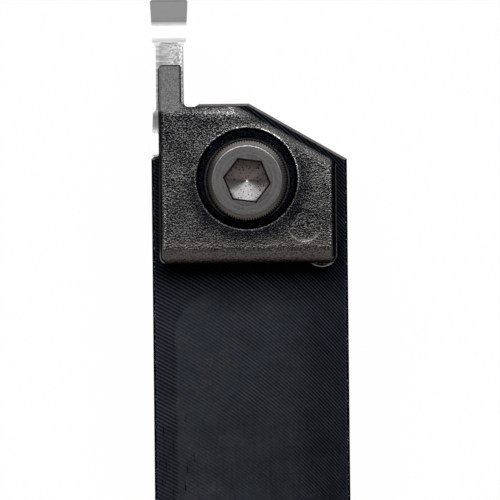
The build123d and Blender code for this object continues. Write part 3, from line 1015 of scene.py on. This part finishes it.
        flats = self._hexagon(sheet, place)
        floor, half = self.sizes.hex_floor, self.sizes.hex_half
        point = floor - self.sizes.cone_depth
        socket = sheet.fall(flats, half - 0.02, half + 0.03)
        socket = socket * sheet.fall(z, floor + 0.02, floor + 0.1)
        socket = socket * sheet.ramp(z, point - 0.2, point - 0.1)
        pits = sheet.fall(sheet.cells(spot, self.pit_spacing, dimensions="2D"), 0.1, 0.17)
        pits = pits * sheet.ramp(cloud, 0.4, 0.5)
        deep = sheet.blend(pits, self._drilled(sheet, place, speck), self.pit)
        tone = sheet.blend(socket, tone, deep)
        # Painted shade: a dark outline round the socket's edge on the head's top.
        outline = sheet.line(flats, half + 0.08, 0.15, 0.09) * sheet.fall(place[2], *self.socket_reach)
        tone = sheet.blend(outline, tone, self.pit)

        rough = (0.32 + speck * 0.16) * (1 - socket) + socket * 0.27
        turned = sheet.relief(speck, self.speck_depth, sheet.relief(rings, self.ring_depth))
        normal = sheet.between(socket, turned, sheet.relief(speck, self.socket_depth))
        sheet.surface(tone, 0.95 - socket * 0.45, rough, normal)


@dataclass(frozen=True)
class BlackWasherSteel(Finish):
    """Black oxide on a stamped washer, rubbed through at its rim and given a painted highlight there."""

    colour: Colour = (0.006, 0.007, 0.009)
    worn: Colour = (0.85, 0.85, 0.85)
    metal: float = 0.9
    speck_size: float = 0.2
    speck_depth: float = 0.006
    axis: Point = ScrewSizes.axis
    rim_radius: float = 5.38

    def draw(self, sheet: NodeSheet) -> None:
        """Draws the oxide and the bright rim, a painted highlight.

        Args:
            sheet: the empty sheet.
        """
        spot = sheet.spot()
        x, y, _ = sheet.split(spot)
        _, _, reach = sheet.around(x, y, self.axis)
        speck = sheet.grain(spot, self.speck_size, 3.0)
        # Painted highlight on the rim's edge, partly rubbed through oxide.
        rim = sheet.line(reach, self.rim_radius, 0.12, 0.03) * sheet.ramp(speck, 0.3, 0.7, 0.5, 1.0)
        tone = sheet.blend(rim, self.colour, self.worn)
        sheet.surface(tone, self.metal, 0.35 + speck * 0.2, sheet.relief(speck, self.speck_depth))


@dataclass(frozen=True)
class DrawnWire(Finish):
    """Drawn spring wire, with faint lengthwise marks and an oily darker tone."""

    colour: Colour = (0.3, 0.3, 0.3)
    dark: Colour = (0.12, 0.115, 0.11)
    speck_size: float = 0.3
    speck_depth: float = 0.005

    def draw(self, sheet: NodeSheet) -> None:
        """Draws the wire.

        Args:
            sheet: the empty sheet.
        """
        speck = sheet.grain(sheet.spot(), self.speck_size, 4.0)
        tone = sheet.blend(sheet.ramp(speck, 0.4, 0.7), self.dark, self.colour)
        sheet.surface(tone, 1.0, 0.28 + speck * 0.15, sheet.relief(speck, self.speck_depth))


@dataclass(frozen=True)
class StudioWhite(Finish):
    """A floor that is white to the eye, and still darkened by what stands on it."""

    white: float = 0.98
    matt: Tuple[float, ...] = (0.9, 0.9, 0.9, 1.0)

    def draw(self, sheet: NodeSheet) -> None:
        """Mixes a matt floor with a glowing one, which only the background's rays see.

        Args:
            sheet: the empty sheet.
        """
        matt = sheet.add("ShaderNodeBsdfDiffuse", sockets={"Color": self.matt})
        glow = sheet.add("ShaderNodeEmission", sockets={"Color": (1.0, 1.0, 1.0, 1.0), "Strength": 1.0})
        share = sheet.seen() * self.white
        mixed = sheet.add("ShaderNodeMixShader", sockets={0: share, 1: matt, 2: glow})
        sheet.add("ShaderNodeOutputMaterial", sockets={0: mixed})


def show(name: str, data: bpy.types.ID) -> bpy.types.Object:
    """Makes an object and puts it in the scene.

    Args:
        name: the object's name.
        data: its mesh, light or camera.

    Returns:
        The object.
    """
    piece = bpy.data.objects.new(name, data)
    bpy.context.scene.collection.objects.link(piece)
    return piece


def place_mesh(name: str, points: List[Vertex], faces: List[Face]) -> bpy.types.Object:
    """Makes a shown object from points in millimetres.

    Args:
        name: the object's name.
        points: its vertices.
        faces: its faces, as vertex numbers.

    Returns:
        The object.
    """
    mesh = bpy.data.meshes.new(name)
    mesh.from_pydata([(x * MM, y * MM, z * MM) for x, y, z in points], [], faces)
    mesh.update()
    return show(name, mesh)


def close_and_shade(piece: bpy.types.Object, sharp_degrees: float) -> None:
    """Merges doubled points, turns the faces outwards and shades them smooth between sharp edges.

    Args:
        piece: the object.
        sharp_degrees: edges that turn more than this stay sharp.
    """
    work = bmesh.new()
    work.from_mesh(piece.data)
    bmesh.ops.remove_doubles(work, verts=work.verts, dist=WELD_DISTANCE)
    bmesh.ops.dissolve_degenerate(work, edges=work.edges, dist=WELD_DISTANCE)
    bmesh.ops.recalc_face_normals(work, faces=work.faces)
    for face in work.faces:
        face.smooth = True
    sharp = math.radians(sharp_degrees)
    for edge in work.edges:
        edge.smooth = len(edge.link_faces) == 2 and edge.calc_face_angle() < sharp
    work.to_mesh(piece.data)
    work.free()


def dress(piece: bpy.types.Object, material: bpy.types.Material) -> None:
    """Gives all of a piece one material.

    Args:
        piece: the object.
        material: its finish.
    """
    piece.data.materials.clear()
    piece.data.materials.append(material)


def dress_packed(piece: Piece, finish: Finish) -> bpy.types.Object:
    """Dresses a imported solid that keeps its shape.

    Args:
        piece: the solid.
        finish: its finish.

    Returns:
        The solid's own object.
    """
    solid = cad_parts[piece.value]
    dress(solid, finish.paint())
    return solid


@dataclass
class HolderBody:
    """The shank, the head and the support blade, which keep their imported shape."""

    finish: BlackOxide = field(default_factory=lambda: BlackOxide("black_oxide"))

    def build(self) -> List[bpy.types.Object]:
        """Dresses the body and returns it."""
        return [dress_packed(Piece.BODY, self.finish)]


@dataclass
class Insert:
    """The double-ended carbide insert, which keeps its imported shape."""

    finish: GroundCarbide = field(default_factory=lambda: GroundCarbide("ground_carbide"))

    def build(self) -> List[bpy.types.Object]:
        """Dresses the insert and returns it."""
        return [dress_packed(Piece.INSERT, self.finish)]


@dataclass
class TopClamp:
    """The cast clamp: its packed form with soft corners and an uneven casting skin."""

    grid: float = 0.17
    soften_share: float = 0.5
    soften_rounds: int = 2
    swell: float = 0.014
    swell_size: float = 0.9
    pebble: float = 0.006
    pebble_size: float = 0.36
    pebble_shift: Vertex = (7.0, 3.0, 1.0)
    seat_z: float = 25.35
    seat_fade: float = 0.5
    lane_right: float = -6.9
    lane_top: float = 26.1
    finger_y: float = 61.3
    crease_y: float = 60.6
    finger_right: float = -9.2
    ground_share: float = 0.08
    finish: CastSkin = field(default_factory=lambda: CastSkin("cast_skin"))

    def _soft_form(self) -> bpy.types.Mesh:
        """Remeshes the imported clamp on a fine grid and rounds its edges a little.

        Returns:
            The new mesh, in millimetres.
        """
        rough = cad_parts[Piece.CLAMP.value].data.copy()
        work = bmesh.new()
        work.from_mesh(rough)
        bmesh.ops.remove_doubles(work, verts=work.verts, dist=WELD_DISTANCE)
        bmesh.ops.scale(work, vec=(1 / MM,) * 3, verts=work.verts)
        work.to_mesh(rough)
        work.free()
        blank = show("clamp_blank", rough)
        remesh = blank.modifiers.new("grid", "REMESH")
        remesh.mode = "VOXEL"
        remesh.voxel_size = self.grid
        remesh.adaptivity = 0.0
        soften = blank.modifiers.new("soften", "SMOOTH")
        soften.factor = self.soften_share
        soften.iterations = self.soften_rounds
        graph = bpy.context.evaluated_depsgraph_get()
        mesh = bpy.data.meshes.new_from_object(blank.evaluated_get(graph))
        bpy.data.objects.remove(blank)
        return mesh

    def _skin_share(self, place: Vector) -> float:
        """How much of the casting's unevenness a place gets.

        Args:
            place: a vertex, in millimetres.

        Returns:
            0 on seats, a little on the ground finger, and 1 on the open casting.
        """
        if place.z < self.seat_z or (place.x < self.lane_right and place.z < self.lane_top):
            return 0.0
        if place.y > self.finger_y or (place.y > self.crease_y and place.x < self.finger_right):
            return self.ground_share
        return min(1.0, (place.z - self.seat_z) / self.seat_fade)

    def build(self) -> List[bpy.types.Object]:
        """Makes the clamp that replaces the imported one.

        Returns:
            The clamp.
        """
        mesh = self._soft_form()
        mesh.name = "cast_clamp"
        work = bmesh.new()
        work.from_mesh(mesh)
        work.normal_update()
        shift = Vector(self.pebble_shift)
        for vertex in work.verts:
            share = self._skin_share(vertex.co)
            if share > 0:
                swell = noise.noise(vertex.co / self.swell_size) * self.swell
                pebble = noise.noise(vertex.co / self.pebble_size + shift) * self.pebble
                vertex.co += vertex.normal * share * (swell + pebble)
        bmesh.ops.scale(work, vec=(MM,) * 3, verts=work.verts)
        for face in work.faces:
            face.smooth = True
        work.to_mesh(mesh)
        work.free()
        clamp = show("cast_clamp", mesh)
        dress(clamp, self.finish.paint())
        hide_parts(Piece.CLAMP.value)
        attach(clamp, Rider.CLAMP.value)
        return [clamp]


@dataclass
class ClampScrew:
    """The M6 socket-head screw, with its knurl, hexagon socket and cut thread."""

    sizes: ScrewSizes = ScrewSizes()
    head_seat: float = 29.0
    head_radius: float = 5.1
    neck_radius: float = 4.94
    flat_radius: float = 4.44
    bevel_radius: float = 4.84
    knurl_depth: float = 0.16
    tooth: Tuple[float, ...] = (0.0, 0.5, 1.0, 0.5)
    cone_steps: Tuple[float, ...] = (0.0, 0.03, 0.1, 0.35, 0.65, 0.98)
    head_sharp: float = 28.0
    thread_radius: float = 2.975
    root_radius: float = 2.45
    thread_pitch: float = 1.0
    thread_flank: Tuple[float, ...] = (0.0, 0.15, 0.6, 1.0, 1.0, 0.6, 0.15, 0.0)
    thread_top: float = 28.7
    thread_columns: int = 48
    thread_sharp: float = 50.0
    tip_z: float = 9.0
    tip_chamfer: float = 0.25
    finish: TurnedSteel = field(default_factory=lambda: TurnedSteel("turned_steel"))

    def _point(self, reach: float, angle: float, height: float) -> Vertex:
        """A point by its distance from the screw's axis, its direction in radians and its height."""
        x, y = self.sizes.axis
        return x + reach * math.cos(angle), y + reach * math.sin(angle), height

    def _rings(self) -> List[Tuple[float, float, float, float]]:
        """The head's rings, from the middle of the socket round to the shank.

        Returns:
            For each ring: radius, height, share of hexagon and share of knurl.
        """
        flat, top, floor = self.sizes.hex_half, self.sizes.head_top, self.sizes.hex_floor
        cone, seat = self.sizes.cone_depth, self.head_seat
        rings = [(flat * step, floor - cone + cone * step, 0.0, 0.0) for step in self.cone_steps]
        rings += [
            (flat, floor, 1.0, 0.0),
            (flat, floor + 0.05, 1.0, 0.0),
            (flat, top - 0.12, 1.0, 0.0),
            (flat + 0.02, top - 0.04, 1.0, 0.0),
            (flat + 0.07, top, 1.0, 0.0),
            (self.flat_radius - 0.7, top, 0.0, 0.0),
            (self.flat_radius - 0.14, top, 0.0, 0.0),
            (self.flat_radius - 0.06, top, 0.0, 0.0),
            (self.flat_radius, top - 0.015, 0.0, 0.0),
            (self.flat_radius + 0.06, top - 0.06, 0.0, 0.0),
            (self.bevel_radius, top - 0.36, 0.0, 0.0),
            (self.head_radius, top - 0.62, 0.0, 1.0),
            (self.head_radius, top - 0.8, 0.0, 1.0),
            (self.head_radius, seat + 0.75, 0.0, 1.0),
            (self.neck_radius, seat + 0.55, 0.0, 0.0),
            (self.neck_radius, seat + 0.1, 0.0, 0.0),
            (self.neck_radius - 0.1, seat, 0.0, 0.0),
            (self.thread_radius + 0.2, seat, 0.0, 0.0),
            (self.thread_radius, seat - 0.15, 0.0, 0.0),
            (self.thread_radius - 0.1, seat - 0.4, 0.0, 0.0),
            (0.0, seat - 0.4, 0.0, 0.0),
        ]
        return rings

    def _head(self) -> bpy.types.Object:
        """Makes the knurled head with its socket.

        Returns:
            The head.
        """
        columns = self.sizes.knurl_teeth * len(self.tooth)
        points: List[Vertex] = []
        faces: List[Face] = []
        rings = self._rings()
        for radius, height, hexagon, knurl in rings:
            for column in range(columns):
                angle = 2 * math.pi * column / columns
                sector = angle % (math.pi / 3) - math.pi / 6
                reach = radius / math.cos(sector) if hexagon else radius
                reach -= knurl * self.knurl_depth * (1 - self.tooth[column % len(self.tooth)])
                points.append(self._point(reach, angle + math.radians(self.sizes.hex_turn), height))
        for low in range(0, (len(rings) - 1) * columns, columns):
            for column in range(columns):
                side = (column + 1) % columns
                faces.append((low + column, low + side, low + side + columns, low + column + columns))
        head = place_mesh("knurled_screw_head", points, faces)
        close_and_shade(head, self.head_sharp)
        return head

    def _thread(self) -> bpy.types.Object:
        """Makes the threaded shank, whose rows climb one pitch in each turn.

        Returns:
            The shank.
        """
        steps, columns = len(self.thread_flank), self.thread_columns
        rows = int((self.thread_top - self.tip_z) / self.thread_pitch + 2) * steps
        points: List[Vertex] = []
        faces: List[Face] = []
        for row in range(rows + 1):
            flank = self.thread_flank[row % steps]
            radius = self.root_radius + (self.thread_radius - self.root_radius) * flank
            for column in range(columns):
                climb = (row / steps + column / columns - 1) * self.thread_pitch
                height = min(max(self.tip_z + climb, self.tip_z), self.thread_top)
                reach = min(radius, self.root_radius - self.tip_chamfer + (height - self.tip_z))
                points.append(self._point(reach, 2 * math.pi * column / columns, height))
        for row in range(rows):
            for column in range(columns):
                low = row * columns + column
                last = column == columns - 1
                if last and row + steps + 1 > rows:
                    continue
                side = (row + steps) * columns if last else low + 1
                faces.append((low, side, side + columns, low + columns))
        thread = place_mesh("screw_thread", points, faces)
        close_and_shade(thread, self.thread_sharp)
        return thread

    def build(self) -> List[bpy.types.Object]:
        """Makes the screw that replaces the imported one.

        Returns:
            Its head and its threaded shank.
        """
        pieces = [self._head(), self._thread()]
        steel = self.finish.paint()
        for piece in pieces:
            dress(piece, steel)
            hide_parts(Piece.SCREW.value)
            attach(piece, Rider.SCREW.value)
        return pieces


@dataclass
class WasherAndSpring:
    """The flat washer and the hidden lifting spring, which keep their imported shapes."""

    washer_finish: BlackWasherSteel = field(default_factory=lambda: BlackWasherSteel("washer_oxide"))
    spring_finish: DrawnWire = field(default_factory=lambda: DrawnWire("drawn_wire"))

    def build(self) -> List[bpy.types.Object]:
        """Dresses both pieces and returns them."""
        washer = dress_packed(Piece.WASHER, self.washer_finish)
        return [washer, dress_packed(Piece.SPRING, self.spring_finish)]


@dataclass
class Studio:
    """A pale floor, soft light mostly from the cutting edge's side, and the camera straight above.

    The sizes of the studio are metres, apart from the lens and its sensor.
    """

    floor_half: float = 5.0
    floor_z: float = -0.00002
    camera_target: Vertex = (-0.00001, 0.04287, 0.025)
    view_width: float = 0.06394
    lens: float = 1200.0
    sensor: float = 36.0
    clip: Span = (0.05, 20.0)
    roll_degrees: float = -0.613
    plain_level: float = 0.35
    zenith_level: float = 0.05
    front_level: float = 0.35
    rear_level: float = 0.22
    side_level: float = 0.5
    front_span: Span = (0.1, 0.7)
    rear_span: Span = (-0.85, -0.5)
    side_span: Span = (0.5, 0.78)
    wall_span: Span = (0.015, 0.05)
    key_power: float = 3.8
    key_size: Span = (0.6, 0.42)
    key_distance: float = 0.7
    key_tilt: float = 28.0
    floor_finish: StudioWhite = field(default_factory=lambda: StudioWhite("studio_floor"))

    def floor(self) -> bpy.types.Object:
        """Makes the floor.

        Returns:
            The floor.
        """
        half, level = self.floor_half / MM, self.floor_z / MM
        corners = [(x * half, y * half, level) for x, y in ((-1, -1), (1, -1), (1, 1), (-1, 1))]
        floor = place_mesh("studio_floor", corners, [(0, 1, 2, 3)])
        dress(floor, self.floor_finish.paint())
        return floor

    def sky(self) -> None:
        """Makes the studio's white walls and grey ceiling, brighter towards the cutting edge's side."""
        world = bpy.data.worlds.new("studio")
        bpy.context.scene.world = world
        world.use_nodes = True
        sheet = NodeSheet(world.node_tree)
        _, y, z = sheet.split(sheet.add("ShaderNodeTexCoord"))
        front = sheet.ramp(y, *self.front_span, self.zenith_level, self.front_level)
        rear = sheet.ramp(y, *self.rear_span, self.rear_level - self.zenith_level, 0.0)
        ceiling = sheet.most(rear + front, sheet.ramp(z, *self.side_span, self.side_level, 0.0))
        above = sheet.vector(ceiling, ceiling, ceiling)
        sky = sheet.blend(sheet.ramp(z, *self.wall_span), (1.0, 1.0, 1.0), above)
        colour = sheet.blend(sheet.seen(), (self.plain_level,) * 3, sky)
        light = sheet.add("ShaderNodeBackground", sockets={"Color": colour, "Strength": 1.0})
        sheet.add("ShaderNodeOutputWorld", sockets={0: light})

    def lamp(self) -> bpy.types.Object:
        """Hangs the key lamp beyond the cutting edge, tilted down to the clamp.

        Returns:
            The lamp.
        """
        data = bpy.data.lights.new("key_lamp", "AREA")
        data.shape = "RECTANGLE"
        data.size, data.size_y = self.key_size
        data.energy = self.key_power
        lamp = show("key_lamp", data)
        tilt = math.radians(self.key_tilt)
        offset = Vector((0.0, math.sin(tilt), math.cos(tilt))) * self.key_distance
        lamp.location = Vector(self.camera_target) + offset
        lamp.rotation_euler = Euler((-tilt, 0.0, 0.0))
        lamp.visible_camera = False
        return lamp

    def camera(self) -> bpy.types.Object:
        """Hangs the camera straight above the head, with the photo's small roll.

        Returns:
            The camera.
        """
        data = bpy.data.cameras.new("camera")
        data.lens = self.lens
        data.sensor_width = self.sensor
        data.clip_start, data.clip_end = self.clip
        camera = show("camera", data)
        distance = self.view_width * self.lens / self.sensor
        camera.location = Vector(self.camera_target) + Vector((0.0, 0.0, distance))
        camera.rotation_euler = Euler((0.0, 0.0, math.radians(self.roll_degrees)))
        bpy.context.scene.camera = camera
        return camera

    def build(self) -> List[bpy.types.Object]:
        """Sets up the whole studio.

        Returns:
            The camera, the floor and the lamp.
        """
        bpy.context.scene.view_settings.view_transform = "Standard"
        self.sky()
        return [self.camera(), self.floor(), self.lamp()]


def main() -> None:
    """Builds the studio and every sub-assembly."""
    logging.basicConfig(level=logging.INFO, format="%(name)s: %(message)s")
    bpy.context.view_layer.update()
    for maker in (Studio(), HolderBody(), Insert(), TopClamp(), ClampScrew(), WasherAndSpring()):
        for piece in maker.build():
            LOG.info("%s made %s", type(maker).__name__, piece.name)


if __name__ == "__main__":
    main()
